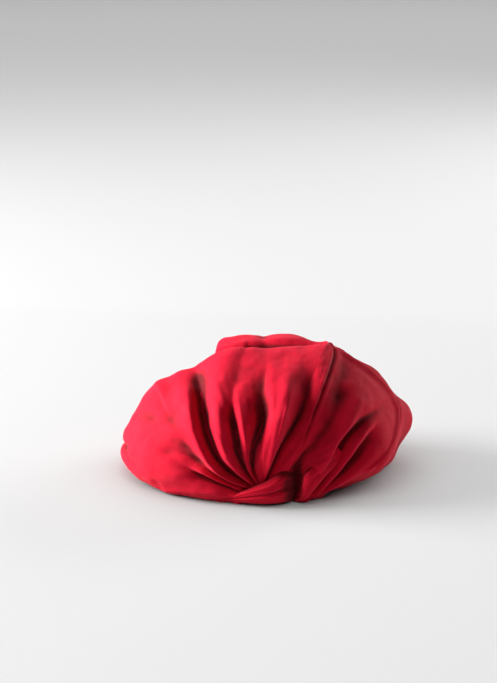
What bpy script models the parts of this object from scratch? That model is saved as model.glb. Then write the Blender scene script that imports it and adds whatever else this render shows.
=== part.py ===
"""Twist-front turban headwrap: two cloth halves joined by a crown seam, gathered into a twist at the brow and
onto an elastic casing at the nape. Metres, +Z up. The wrap stands on its lower edge, the twist faces -Y, and the
origin is on the floor under the middle of the wrap's box."""

import math

import bmesh
import bpy
from mathutils import Vector

# Driving dimensions
RIM_HALF_WIDTH = 0.084  # lower edge, half of its width at the ears
PANEL_ROWS = 22  # facets from the twist to the nape
CLOTH = 0.0024  # outer layer as it lies, pleats included
LINING = 0.0012
LAYER_GAP = 0.0004  # between outer layer and lining
SEAM_GAP = 0.0018  # between the two halves, which the seam's thread lies in
THREAD_RADIUS = 0.0003
CASING_HEIGHT = 0.0220  # the nape channel, sized for a 16 mm elastic
CASING_TOP_GAP = 0.0005
CASING_WALL = 0.0012
CASING_HOLLOW = 0.0018
CASING_HALF_WIDTH = 0.067
CASING_END_Y = 0.056
CASING_BACK_Y = 0.090
ELASTIC_HEIGHT = 0.016
ELASTIC_THICKNESS = 0.0011
CENTRE = Vector((-0.0010, -0.0071, 0.0))  # the middle of the wrap's box in the frame of the lists below

# Cross-section of the resting crown at the ears, from the left edge over the top to the right edge: (x, z)
ARCH = [
    (-0.090, 0.000),
    (-0.114, 0.005),
    (-0.119, 0.024),
    (-0.103, 0.057),
    (-0.066, 0.0845),
    (-0.022, 0.1015),
    (0.028, 0.1055),
    (0.055, 0.1050),
    (0.090, 0.081),
    (0.115, 0.045),
    (0.102, 0.012),
    (0.072, 0.000),
]

# Stations from the twist (first) to the nape (last), evenly spaced along the cloth.
# Each is (share of ARCH's width, share of its height, how much of ARCH's outward bulge, y at the lower edge,
# y at the crown, where across it the crown seam runs).
STATIONS = [
    (0.22, 0.18, 0.00, -0.088, -0.089, 0.705),
    (0.56, 0.53, 0.60, -0.078, -0.086, 0.660),
    (0.85, 0.83, 0.95, -0.054, -0.060, 0.635),
    (1.00, 1.00, 1.00, -0.010, -0.008, 0.638),
    (0.99, 0.98, 0.95, 0.028, 0.044, 0.610),
    (0.90, 0.66, 0.50, 0.046, 0.086, 0.560),
    (0.80, 0.00, 0.00, CASING_END_Y, CASING_BACK_Y, 0.500),
]
LIFT_START, LIFT_END = 0.70, 0.90  # where, along the cloth, the lower edge rises onto the casing


def catmull_rom(values, t):
    """The smooth curve through evenly spaced values, at t from 0 to 1. Each value is a tuple."""
    last = len(values) - 1
    place = min(max(t, 0.0), 1.0) * last
    i = min(int(place), last - 1)
    u = place - i
    p1, p2 = Vector(values[i]), Vector(values[i + 1])
    p0 = Vector(values[i - 1]) if i > 0 else 2 * p1 - p2
    p3 = Vector(values[i + 2]) if i + 2 <= last else 2 * p2 - p1
    return 0.5 * (
        2 * p1 + (p2 - p0) * u + (2 * p0 - 5 * p1 + 4 * p2 - p3) * u * u + (3 * p1 - p0 - 3 * p2 + p3) * u**3
    )


def cloth_point(across, along):
    """The outer surface. across runs from the left lower edge (0) over the crown to the right one (1);
    along runs from the twist (0) to the nape (1)."""
    x_arch, z_arch = catmull_rom(ARCH, across)
    width, height, bulge, y_edge, y_crown, _ = catmull_rom(STATIONS, along)
    lift = min(max((along - LIFT_START) / (LIFT_END - LIFT_START), 0.0), 1.0)
    base = (CASING_HEIGHT + CASING_TOP_GAP) * lift * lift * (3.0 - 2.0 * lift)
    x_plain = -RIM_HALF_WIDTH * math.cos(math.pi * across)
    x = width * (x_plain + bulge * (x_arch - x_plain))
    y = y_edge + (y_crown - y_edge) * math.sin(math.pi * across)
    return Vector((x, y, base + max(height, 0.0) * z_arch)) - CENTRE


def cloth_normal(across, along, step=0.004):
    """Outward normal of the surface."""
    a0, a1 = max(across - step, 0.0), min(across + step, 1.0)
    s0, s1 = max(along - step, 0.0), min(along + step, 1.0)
    over = cloth_point(a1, along) - cloth_point(a0, along)
    back = cloth_point(across, s1) - cloth_point(across, s0)
    return over.cross(back).normalized()


def layer_point(across, along, depth):
    """A point that far inside the outer surface. On the lower edges it stays at the edge's own height."""
    normal = cloth_normal(across, along)
    edge = min(across, 1.0 - across, 1.0 - along) / 0.08
    if edge < 1.0:
        level = Vector((normal.x, normal.y, 0.0)).normalized()
        normal = level.lerp(normal, max(edge, 0.0)).normalized()
    return cloth_point(across, along) - normal * depth


def seam_across(along):
    """Where the crown seam runs: right of the middle at the twist, on the middle at the nape."""
    return catmull_rom(STATIONS, along)[-1]


def seam_margin(along):
    """Half of the seam's gap as a share of the cross-section."""
    middle, step = seam_across(along), 0.01
    stretch = (cloth_point(middle + step, along) - cloth_point(middle - step, along)).length / (2 * step)
    return 0.5 * SEAM_GAP / stretch


def material(name, colour, roughness):
    made = bpy.data.materials.new(name)
    made.use_nodes = True
    shader = made.node_tree.nodes["Principled BSDF"]
    shader.inputs["Base Color"].default_value = (*colour, 1.0)
    shader.inputs["Roughness"].default_value = roughness
    shader.inputs["Metallic"].default_value = 0.0
    return made


def add_object(name, mesh_builder, finish, smooth_angle=40.0):
    """A named object from a bmesh, with its faces turned outward."""
    bmesh.ops.recalc_face_normals(mesh_builder, faces=mesh_builder.faces[:])
    mesh = bpy.data.meshes.new(name)
    mesh_builder.to_mesh(mesh)
    mesh_builder.free()
    mesh.materials.append(finish)
    mesh.shade_smooth()
    mesh.set_sharp_from_angle(angle=math.radians(smooth_angle))
    made = bpy.data.objects.new(name, mesh)
    bpy.context.scene.collection.objects.link(made)
    return made


def shell(name, outer, inner, columns, rows, finish):
    """A closed sheet between two surfaces, each a function of (column share, row share)."""
    built = bmesh.new()
    grids = [
        [[built.verts.new(place(i / columns, j / rows)) for j in range(rows + 1)] for i in range(columns + 1)]
        for place in (outer, inner)
    ]
    for grid in grids:
        for i in range(columns):
            for j in range(rows):
                built.faces.new((grid[i][j], grid[i + 1][j], grid[i + 1][j + 1], grid[i][j + 1]))
    top, under = grids
    for i in range(columns):
        for j in (0, rows):
            built.faces.new((top[i][j], top[i + 1][j], under[i + 1][j], under[i][j]))
    for j in range(rows):
        for i in (0, columns):
            built.faces.new((top[i][j], top[i][j + 1], under[i][j + 1], under[i][j]))
    return add_object(name, built, finish)


def half_panel(name, side, depth, thickness, columns, rows, finish):
    """One half of a cloth layer, from its lower edge up to the crown seam."""

    def place(extra):
        def at(column, row):
            middle, margin = seam_across(row), seam_margin(row)
            if side == "left":
                across = column * (middle - margin)
            else:
                across = 1.0 - column * (1.0 - middle - margin)
            return layer_point(across, row, depth + extra)

        return at

    return shell(name, place(0.0), place(thickness), columns, rows, finish)


def swept(name, path, radii, sides, finish):
    """A soft rope of changing oval section. path is a list of points and radii of (up and down, front to back)."""
    built = bmesh.new()
    rings = []
    steps = 16
    for k in range(steps + 1):
        share = k / steps
        centre = catmull_rom(path, share) - CENTRE
        ahead = catmull_rom(path, min(share + 0.02, 1.0)) - catmull_rom(path, max(share - 0.02, 0.0))
        ahead.normalize()
        depth_way = (Vector((0.0, -1.0, 0.0)) - ahead * ahead.dot(Vector((0.0, -1.0, 0.0)))).normalized()
        up_way = ahead.cross(depth_way).normalized()
        tall, deep = catmull_rom(radii, share)
        ring = []
        for n in range(sides):
            turn = 2 * math.pi * n / sides
            ring.append(built.verts.new(centre + up_way * tall * math.cos(turn) + depth_way * deep * math.sin(turn)))
        rings.append(ring)
    for first, second in zip(rings, rings[1:]):
        for n in range(sides):
            built.faces.new((first[n], first[(n + 1) % sides], second[(n + 1) % sides], second[n]))
    built.faces.new(rings[0])
    built.faces.new(rings[-1])
    return add_object(name, built, finish)


def thread(name, points, radius, finish):
    """Sewing thread: a round cord through the points."""
    curve = bpy.data.curves.new(name, "CURVE")
    curve.dimensions = "3D"
    curve.bevel_depth = radius
    curve.bevel_resolution = 1
    curve.use_fill_caps = True
    spline = curve.splines.new("POLY")
    spline.points.add(len(points) - 1)
    for place, point in zip(spline.points, points):
        place.co = (*point, 1.0)
    curve.materials.append(finish)
    made = bpy.data.objects.new(name, curve)
    bpy.context.scene.collection.objects.link(made)
    return made


def nape_point(share, depth, height):
    """A point of the nape channel: share runs from its left end (0) round the back to its right end (1)."""

    def middle_line(u):
        x = -CASING_HALF_WIDTH * math.cos(math.pi * u)
        y = CASING_END_Y + (CASING_BACK_Y - CASING_END_Y) * math.sin(math.pi * u)
        return Vector((x, y, 0.0)) - CENTRE

    here = middle_line(share)
    along = middle_line(min(share + 0.01, 1.0)) - middle_line(max(share - 0.01, 0.0))
    outward = Vector((-along.y, along.x, 0.0)).normalized()
    return here - outward * depth + Vector((0.0, 0.0, height))


def nape_strip(name, start, end, depth, thickness, low, high, columns, finish):
    """A flat strip that follows the nape channel."""

    def place(extra):
        return lambda column, row: nape_point(start + (end - start) * column, depth + extra, low + (high - low) * row)

    return shell(name, place(0.0), place(thickness), columns, 2, finish)


def nape_channel(name, columns, finish):
    """The casing: cloth folded up into a channel, open at the top where the wrap is sewn on."""
    full = 2 * CASING_WALL + CASING_HOLLOW
    inside = CASING_WALL + CASING_HOLLOW
    profile = [
        (0.0, 0.0),
        (full, 0.0),
        (full, CASING_HEIGHT),
        (inside, CASING_HEIGHT),
        (inside, CASING_WALL),
        (CASING_WALL, CASING_WALL),
        (CASING_WALL, CASING_HEIGHT),
        (0.0, CASING_HEIGHT),
    ]
    built = bmesh.new()
    rings = []
    for k in range(columns + 1):
        rings.append([built.verts.new(nape_point(k / columns, depth, height)) for depth, height in profile])
    count = len(profile)
    for first, second in zip(rings, rings[1:]):
        for n in range(count):
            built.faces.new((first[n], first[(n + 1) % count], second[(n + 1) % count], second[n]))
    for ring in (rings[0], rings[-1]):
        built.faces.new((ring[0], ring[1], ring[4], ring[5]))
        built.faces.new((ring[1], ring[2], ring[3], ring[4]))
        built.faces.new((ring[0], ring[5], ring[6], ring[7]))
    return add_object(name, built, finish)


def clear_scene():
    for item in list(bpy.data.objects):
        bpy.data.objects.remove(item)


def build():
    clear_scene()
    red_cloth = material("red_cotton", (0.58, 0.005, 0.028), 0.85)
    lining_cloth = material("red_lining", (0.50, 0.008, 0.028), 0.9)
    thread_finish = material("red_thread", (0.62, 0.010, 0.035), 0.7)
    elastic_finish = material("white_elastic", (0.80, 0.79, 0.76), 0.8)
    label_finish = material("label_satin", (0.86, 0.85, 0.83), 0.5)

    lining_depth = CLOTH + LAYER_GAP
    for side, columns in (("left", 24), ("right", 14)):
        half_panel(f"{side}_crown_panel", side, 0.0, CLOTH, columns, PANEL_ROWS, red_cloth)
        half_panel(f"{side}_lining_panel", side, lining_depth, LINING, columns, PANEL_ROWS, lining_cloth)

    seam_steps = 2 * PANEL_ROWS
    seam_shares = [k / seam_steps for k in range(1, seam_steps)]
    seam_depth = 0.5 * CLOTH
    thread(
        "crown_seam_thread",
        [layer_point(seam_across(s), s, seam_depth) for s in seam_shares],
        THREAD_RADIUS,
        thread_finish,
    )
    thread(
        "lining_seam_thread",
        [layer_point(seam_across(s), s, lining_depth + 0.5 * LINING) for s in seam_shares],
        THREAD_RADIUS,
        thread_finish,
    )

    # The twist: the left half's gathered corner crosses over in front and dives behind the right half's.
    front_path = [
        (-0.034, -0.0930, 0.0062),
        (-0.018, -0.0960, 0.0090),
        (-0.002, -0.0985, 0.0145),
        (0.012, -0.0980, 0.0175),
        (0.0215, -0.0945, 0.0190),
    ]
    front_radii = [(0.0030, 0.0025), (0.0070, 0.0050), (0.0115, 0.0062), (0.0140, 0.0062), (0.0150, 0.0040)]
    swept("knot_front_strand", front_path, front_radii, 16, red_cloth)
    rear_path = [
        (0.0275, -0.0950, 0.0075),
        (0.0330, -0.0955, 0.0130),
        (0.0385, -0.0945, 0.0210),
        (0.0430, -0.0930, 0.0300),
    ]
    rear_radii = [(0.0045, 0.0040), (0.0060, 0.0048), (0.0062, 0.0042), (0.0030, 0.0025)]
    swept("knot_rear_strand", rear_path, rear_radii, 12, red_cloth)
    thread(
        "knot_tack_thread",
        [Vector((-0.006 + 0.003 * k, -0.0905 + 0.0003 * abs(k - 4), 0.0135 + 0.0012 * k)) - CENTRE for k in range(9)],
        THREAD_RADIUS,
        thread_finish,
    )

    nape_channel("nape_casing", 30, red_cloth)
    elastic_depth = CASING_WALL + 0.5 * (CASING_HOLLOW - ELASTIC_THICKNESS)
    elastic_low = CASING_WALL + 0.0015
    nape_strip(
        "nape_elastic",
        0.01,
        0.99,
        elastic_depth,
        ELASTIC_THICKNESS,
        elastic_low,
        elastic_low + ELASTIC_HEIGHT,
        30,
        elastic_finish,
    )
    stitch_off = THREAD_RADIUS + 0.0003
    stitch_height = CASING_HEIGHT - 0.0022
    thread(
        "casing_stitch_thread",
        [nape_point(0.02 + 0.96 * k / 40, -stitch_off, stitch_height) for k in range(41)],
        THREAD_RADIUS,
        thread_finish,
    )
    tack_width = 0.0015 / (math.pi * CASING_HALF_WIDTH)
    for side, share in (("left", 0.035), ("right", 0.965)):
        nape_strip(
            f"elastic_tack_{side}",
            share - tack_width,
            share + tack_width,
            -0.0012,
            0.0009,
            0.0040,
            0.0170,
            2,
            thread_finish,
        )
    label_depth = 2 * CASING_WALL + CASING_HOLLOW + 0.0003
    nape_strip("care_label", 0.52, 0.66, label_depth, 0.0006, 0.0035, 0.0190, 6, label_finish)


build()
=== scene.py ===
"""Looks of the twist-front turban headwrap: its folded cloth, twist, lining, nape casing, elastic and
threads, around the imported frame. Metres, +Z up, the twist faces -Y."""

import math

import bmesh
import bpy
import numpy as np
from mathutils import Matrix, Vector
from mathutils.kdtree import KDTree


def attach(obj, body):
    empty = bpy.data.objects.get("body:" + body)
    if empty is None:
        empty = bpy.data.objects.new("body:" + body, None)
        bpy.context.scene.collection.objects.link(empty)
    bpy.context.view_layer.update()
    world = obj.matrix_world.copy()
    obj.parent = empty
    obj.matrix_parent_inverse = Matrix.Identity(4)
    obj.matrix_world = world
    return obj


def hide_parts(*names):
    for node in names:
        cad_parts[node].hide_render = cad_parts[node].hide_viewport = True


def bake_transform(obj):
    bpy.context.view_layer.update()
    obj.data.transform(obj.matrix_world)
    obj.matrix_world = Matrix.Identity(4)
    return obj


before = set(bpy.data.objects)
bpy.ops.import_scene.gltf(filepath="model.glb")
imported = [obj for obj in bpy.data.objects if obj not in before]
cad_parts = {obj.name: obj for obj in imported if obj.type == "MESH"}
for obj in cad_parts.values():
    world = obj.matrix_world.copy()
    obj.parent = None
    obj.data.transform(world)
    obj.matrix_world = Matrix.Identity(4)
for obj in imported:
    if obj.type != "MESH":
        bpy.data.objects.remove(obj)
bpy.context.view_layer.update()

# ------------------------------------------------------------
# The camera: level with the horizon to the sides, looking down on the wrap's brow
# ------------------------------------------------------------
LENS_MM, SENSOR_MM = 85.0, 36.0
CAMERA_RISE = math.radians(17.5)  # above the wrap, as seen from its middle
CAMERA_DISTANCE = 1.335
AIM = np.array([0.0, 0.0, 0.055])  # the wrap's middle
AIM_RIGHT, AIM_BELOW = 0.0145, 0.0542  # where it stands in the view, off the view's middle, at its distance
TWIST_SEEN = (0.0112, -0.1188)  # the twist's middle in the view

camera_at = AIM + CAMERA_DISTANCE * np.array([0.0, -math.cos(CAMERA_RISE), math.sin(CAMERA_RISE)])
pitch = CAMERA_RISE - math.atan(AIM_BELOW / CAMERA_DISTANCE)
yaw = math.atan(AIM_RIGHT / CAMERA_DISTANCE)
view_ahead = np.array([-math.sin(yaw) * math.cos(pitch), math.cos(yaw) * math.cos(pitch), -math.sin(pitch)])
view_right = np.array([math.cos(yaw), math.sin(yaw), 0.0])
view_up = np.cross(view_right, view_ahead)


def seen(points):
    """Where points appear, in metres at the wrap's distance: right of and above the middle of the twist."""
    rays = points - camera_at
    depth = rays @ view_ahead
    aside = (rays @ view_right) / depth * CAMERA_DISTANCE - TWIST_SEEN[0]
    above = (rays @ view_up) / depth * CAMERA_DISTANCE - TWIST_SEEN[1]
    return np.stack([aside, above], -1)


def placed(aside, above, y):
    """The points at depth y that appear that many millimetres right of and above the twist's middle."""
    right = (np.asarray(aside, float) * 0.001 + TWIST_SEEN[0]) / CAMERA_DISTANCE
    up = (np.asarray(above, float) * 0.001 + TWIST_SEEN[1]) / CAMERA_DISTANCE
    ray = view_ahead + right[..., None] * view_right + up[..., None] * view_up
    reach = (np.asarray(y, float) - camera_at[1]) / ray[..., 1]
    return camera_at + reach[..., None] * ray


# ------------------------------------------------------------
# The wrap's rest shape, as in the frame: a loft from the twist to the nape
# ------------------------------------------------------------
CENTRE = np.array([-0.0010, -0.0071, 0.0])
RIM_HALF_WIDTH = 0.084
CASING_HEIGHT, CASING_TOP_GAP = 0.0220, 0.0005
CASING_WALL, CASING_HOLLOW = 0.0012, 0.0018
CASING_HALF_WIDTH, CASING_END_Y, CASING_BACK_Y = 0.067, 0.056, 0.090
LIFT_START, LIFT_END = 0.70, 0.90  # where the cloth's edge rises from the floor to the channel's top
ARCH = np.array([
    (-0.090, 0.000),
    (-0.114, 0.005),
    (-0.119, 0.024),
    (-0.103, 0.057),
    (-0.066, 0.0845),
    (-0.022, 0.1015),
    (0.028, 0.1055),
    (0.055, 0.1050),
    (0.090, 0.081),
    (0.112, 0.045),
    (0.101, 0.012),
    (0.072, 0.000),
])
STATIONS = np.array([
    (0.22, 0.13, 0.00, -0.084, -0.087),
    (0.56, 0.53, 0.60, -0.076, -0.086),
    (0.85, 0.83, 0.95, -0.054, -0.060),
    (1.00, 1.00, 1.00, -0.010, -0.008),
    (0.98, 0.98, 0.90, 0.028, 0.044),
    (0.90, 0.66, 0.50, 0.046, 0.086),
    (0.80, 0.00, 0.00, CASING_END_Y, CASING_BACK_Y),
])


def smooth(t):
    t = np.clip(t, 0.0, 1.0)
    return t * t * (3.0 - 2.0 * t)


def catmull_rom(values, t):
    """The smooth curve through evenly spaced values, at every t from 0 to 1."""
    values = np.asarray(values, float)
    last = len(values) - 1
    place = np.clip(t, 0.0, 1.0) * last
    i = np.minimum(place.astype(int), last - 1)
    u = (place - i)[..., None]
    padded = np.concatenate([[2 * values[0] - values[1]], values, [2 * values[-1] - values[-2]]])
    p0, p1, p2, p3 = (padded[i + k] for k in range(4))
    return 0.5 * (
        2 * p1 + (p2 - p0) * u + (2 * p0 - 5 * p1 + 4 * p2 - p3) * u**2 + (3 * p1 - p0 - 3 * p2 + p3) * u**3
    )


def loft(across, along):
    """Points of the cloth's outer face. across: left edge 0 to right edge 1; along: twist 0 to nape 1."""
    x_arch, z_arch = np.moveaxis(catmull_rom(ARCH, across), -1, 0)
    width, height, bulge, y_edge, y_crown = np.moveaxis(catmull_rom(STATIONS, along), -1, 0)
    base = (CASING_HEIGHT + CASING_TOP_GAP) * smooth((along - LIFT_START) / (LIFT_END - LIFT_START))
    x_plain = -RIM_HALF_WIDTH * np.cos(math.pi * across)
    x = width * (x_plain + bulge * (x_arch - x_plain))
    y = y_edge + (y_crown - y_edge) * np.sin(math.pi * across)
    return np.stack([x, y, base + np.maximum(height, 0.0) * z_arch], -1) - CENTRE


# The seam's share of the way across, from the twist to the nape
SEAM = [0.705, 0.660, 0.635, 0.638, 0.610, 0.560, 0.500]


def seam_across(along):
    return catmull_rom(np.array(SEAM)[:, None], along)[..., 0]


def grid_normals(points):
    """Outward unit normals of a grid of points indexed [across, along]."""
    over = np.gradient(points, axis=0)
    back = np.gradient(points, axis=1)
    normal = np.cross(over, back)
    return normal / np.maximum(np.linalg.norm(normal, axis=-1, keepdims=True), 1e-12)


# ------------------------------------------------------------
# The front's folds: a fan of ridges and creases that run out from the twist
# ------------------------------------------------------------
# Clockwise from the floor on the left to the floor on the right. Each is (sharpness, points, heights):
# its line in millimetres right of and above the twist's middle, as seen from the camera, and its heights
# over the plain shape, evenly spaced along it, in millimetres. Sharpness is 1 in a crease and 0 on a
# round ridge.
FAN = {
    "floor_left": (0, [(-28, -12), (-51, -12), (-72, -7.5), (-93, 1), (-112, 14)], (0, 0, 0, 0)),
    "low_strip": (
        0,
        [(-21, -7.5), (-41, -4), (-60, 2.5), (-76, 12), (-93, 25), (-109, 37)],
        (3.5, 3.5, 2, 0),
    ),
    "low_crease": (
        1,
        [(-18, -6), (-29, -1.8), (-39, 2.6), (-49, 7.4), (-59, 12.4), (-72, 21), (-86, 33)],
        (-4, -5.5, -6, -5.5, -2, 0, 0),
    ),
    "low_lap": (
        0.3,
        [(-17, -4), (-28, 0.6), (-38, 5.2), (-48, 10.2), (-58, 15.6), (-72, 25), (-86, 37)],
        (1.5, 3, 3.4, 3, 1, 0, 0),
    ),
    "left_dip": (
        0.2,
        [(-14, -3), (-28, 2.6), (-43, 11.5), (-56, 23), (-64, 33), (-70, 42), (-75, 54)],
        (-3, -3, -1.6, -0.8, -0.4, 0),
    ),
    "left_pleat": (
        0,
        [
            (-12, -2.5), (-28, 5.8), (-40, 15.5), (-48.5, 28), (-54, 42),
            (-57.5, 57), (-60, 70), (-62, 84), (-65, 100),
        ],
        (0.5, 4.5, 6.5, 7, 6.6, 6.2, 5.6, 4, 1, 0),
    ),
    "deep_crease": (
        1,
        [
            (-10, -1), (-24.5, 8), (-35.5, 19), (-43, 31), (-47.8, 44),
            (-50.6, 57), (-52.4, 70), (-54, 84), (-56, 100),
        ],
        (-3, -8.5, -10, -11, -11, -11, -10.5, -9.5, -6, 0),
    ),
    "second_pleat": (
        0,
        [
            (-7, -0.5), (-16.5, 8.5), (-24, 17.5), (-29.5, 27), (-33, 40),
            (-34.5, 54), (-34.5, 70), (-32, 87), (-25, 106),
        ],
        (0, 2.5, 5, 6.4, 6.4, 5.8, 5, 4, 2.5),
    ),
    "third_crease": (
        0.8,
        [
            (-4.5, 0), (-12.5, 9), (-17.6, 19), (-21, 29), (-22.4, 39),
            (-23.4, 50), (-24.6, 62), (-24, 78), (-17, 104),
        ],
        (-1.5, -7.5, -10, -10, -8.5, -6, -2, 0, 0),
    ),
    "thin_ridge": (
        0.2,
        [
            (-3.2, 1), (-10, 10), (-12.2, 21), (-13, 33), (-14.2, 44),
            (-16.6, 56), (-18.2, 68), (-16.5, 82), (-8, 104),
        ],
        (0, 0.2, 1.2, 3, 4.6, 4.8, 3.2, 0.8, 0),
    ),
    "middle_crease": (
        0.9,
        [
            (-2.2, 1), (-7.6, 10), (-9.2, 21), (-7.6, 32), (-4, 42),
            (0, 53), (1.6, 66), (0.5, 82), (5, 104),
        ],
        (-1.5, -6, -9, -11, -11.5, -10.5, -7.5, -3, -0.5),
    ),
    "pleat_shoulder": (
        0.1,
        [
            (-0.4, 2), (-1.6, 12), (2.4, 24), (6.8, 37), (9.6, 50),
            (10.6, 62), (9.6, 73), (8.6, 85), (13, 104),
        ],
        (0, 0.8, 3.6, 5.8, 5.8, 4.6, 3, 1.5, 0.5),
    ),
    "broad_pleat": (
        0.1,
        [(1.5, 2), (5.2, 14), (10.2, 28), (14.5, 41), (18.8, 57), (21, 72), (22, 88), (28, 104)],
        (0.5, 4.5, 6.8, 7.4, 6.6, 4.8, 2.4, 0.8),
    ),
    "fourth_crease": (
        0.6,
        [
            (3.4, 4), (10.5, 20), (16, 31), (21, 41.5), (26, 51),
            (31, 62), (35, 74), (40, 90), (48, 104),
        ],
        (-1.5, -6, -8.2, -9.4, -9.8, -9.4, -7.5, -4.5, -1),
    ),
    "plateau": (
        0,
        [
            (8, 7), (16.5, 13), (25.7, 22), (31, 32), (36, 42),
            (39.5, 52), (42.5, 62), (47, 76), (56, 104),
        ],
        (0.5, 0.5, 0, -1.5, -2.5, -3, -3.5, -3, -1),
    ),
    "under_seam": (
        0.6,
        [(28.5, 13), (33, 22), (42, 32), (50.5, 42), (56, 51), (61, 61), (65, 78), (68, 104)],
        (-6, -7, -6, -5, -4.5, -4, -3.5, -2),
    ),
    "right_pleat": (
        0,
        [
            (37, -2), (41.6, 4), (47, 12.4), (54, 22), (59, 32),
            (66.4, 42), (73.5, 52), (79, 66), (82, 82), (80, 98),
        ],
        (4, 5.6, 6, 5, 4.4, 4, 3.4, 2, 0.6, 0),
    ),
    "right_crease": (
        0.8,
        [
            (41, -9), (49.5, 2.5), (55.5, 12.4), (60.5, 22), (65.5, 32),
            (72.5, 42), (82, 51), (91, 58), (100, 64),
        ],
        (-2, -6, -7.5, -8, -7.6, -6, -3, 0),
    ),
    "low_ridge": (
        0.2,
        [(47, -8), (55, 2.5), (63, 13), (70.5, 22), (76.5, 32), (83.6, 42), (91, 50.5), (101, 58)],
        (0.8, 2, 3, 3.4, 3, 2, 0),
    ),
    "low_right_crease": (
        0.6,
        [(50, -8), (61, 2.5), (70, 12.4), (77.5, 22), (84, 32), (89.6, 42), (95, 50)],
        (-1.5, -5, -7.6, -8, -6.6, -3, 0),
    ),
    "low_right_ridge": (
        0,
        [(53, -8.3), (69, 3.3), (81, 12.4), (90, 20.7), (98, 30.6), (103, 43)],
        (1.4, 2.4, 1.6, 0),
    ),
    "floor_right": (0, [(56, -9), (74, -2.5), (90, 6.6), (104, 12.4), (113, 25)], (0, 0, 0)),
}


def line_field(places, points, count=56):
    """For each place: its distance to a smooth line, whether it is on the line's right-hand side going out,
    and the share of the line's length at the nearest point."""
    line = catmull_rom(np.array(points, float) * 0.001, np.linspace(0.0, 1.0, count))
    start, step = line[:-1], np.diff(line, axis=0)
    flat = places.reshape(-1, 2)
    best = np.full(len(flat), np.inf)
    right = np.zeros(len(flat), bool)
    share = np.zeros(len(flat))
    for k in range(count - 1):
        away = flat - start[k]
        u = np.clip(away @ step[k] / (step[k] @ step[k]), 0.0, 1.0)
        distance = np.hypot(*(away - u[:, None] * step[k]).T)
        closer = distance < best
        best[closer] = distance[closer]
        right[closer] = (step[k][1] * away[:, 0] - step[k][0] * away[:, 1] > 0)[closer]
        share[closer] = ((k + u) / (count - 1))[closer]
    return best, right, share


def fan_height(places):
    """Height of the fan's relief at each seen place, in metres."""
    shape = places.shape[:-1]
    distances, rights, heights, sharps = [], [], [], []
    for sharp, points, values in FAN.values():
        distance, right, share = line_field(places, points)
        distances.append(distance)
        rights.append(right)
        heights.append(catmull_rom(np.array(values, float)[:, None], share)[:, 0] * 0.001)
        sharps.append(sharp)
    distances, heights = np.array(distances), np.array(heights)
    after = np.clip(np.sum(rights, axis=0), 1, len(FAN) - 1)
    cell = np.arange(distances.shape[1])
    near, far = distances[after - 1, cell], distances[after, cell]
    low, high = heights[after - 1, cell], heights[after, cell]
    sharp_low, sharp_high = np.array(sharps)[after - 1], np.array(sharps)[after]
    u = near / np.maximum(near + far, 1e-9)
    leaving = sharp_low * np.sin(u * math.pi / 2) + (1 - sharp_low) * smooth(u)
    arriving = sharp_high * (1 - np.cos(u * math.pi / 2)) + (1 - sharp_high) * smooth(u)
    both = sharp_low * sharp_high
    ease = np.where(sharp_low >= sharp_high, leaving, arriving) * (1 - both) + u * both
    return (low + (high - low) * ease).reshape(shape)


# Soft swellings and hollows of the slouched crown: (across, along, reach across, reach along, height in mm)
SWELLS = [
    (0.315, 0.5, 0.03, 0.06, 5.5),
    (0.36, 0.505, 0.03, 0.04, 1.5),
    (0.45, 0.5, 0.04, 0.035, 3.5),
    (0.424, 0.655, 0.018, 0.05, 5),
    (0.455, 0.645, 0.022, 0.045, 3),
    (0.52, 0.64, 0.03, 0.045, 1),
    (0.45, 0.548, 0.14, 0.02, -9),
    (0.49, 0.63, 0.007, 0.06, -2.5),
    (0.59, 0.65, 0.03, 0.07, -8),
    (0.64, 0.64, 0.045, 0.06, -10),
    (0.64, 0.77, 0.07, 0.06, -12),
    (0.705, 0.6, 0.03, 0.06, -6),
    (0.735, 0.62, 0.022, 0.04, 2),
    (0.84, 0.59, 0.055, 0.05, 11),
    (0.93, 0.56, 0.04, 0.06, 9),
    (0.785, 0.6, 0.024, 0.05, -2.5),
    (0.2, 0.78, 0.06, 0.1, 5),
    (0.33, 0.83, 0.03, 0.08, -3),
    (0.5, 0.84, 0.025, 0.09, -3),
    (0.12, 0.62, 0.02, 0.09, -5),
    (0.06, 0.56, 0.03, 0.06, 4),
    (0.172, 0.5, 0.009, 0.11, -2.6),
    (0.205, 0.5, 0.022, 0.12, 1.2),
    (0.138, 0.5, 0.02, 0.12, 2),
    (0.945, 0.23, 0.055, 0.1, -9),
]
# The slouch's left end drops away steeply behind the crest
DROP_ACROSS, DROP_WIDTH, DROP = 0.416, 0.022, 0.014  # shares of the way across, and metres
# The ridge down the right side, as (across, along), and the dip behind it: heights in mm, places along
RIGHT_RIDGE = [
    (0.635, 0.533), (0.663, 0.514), (0.690, 0.499), (0.730, 0.494), (0.766, 0.490),
    (0.788, 0.480), (0.802, 0.444), (0.816, 0.405), (0.831, 0.363), (0.852, 0.286),
]
RIDGE, RIDGE_WIDTH = 3.2, 0.014
DIP, DIP_BEHIND, DIP_WIDTH = 5.5, 0.040, 0.022
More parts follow.
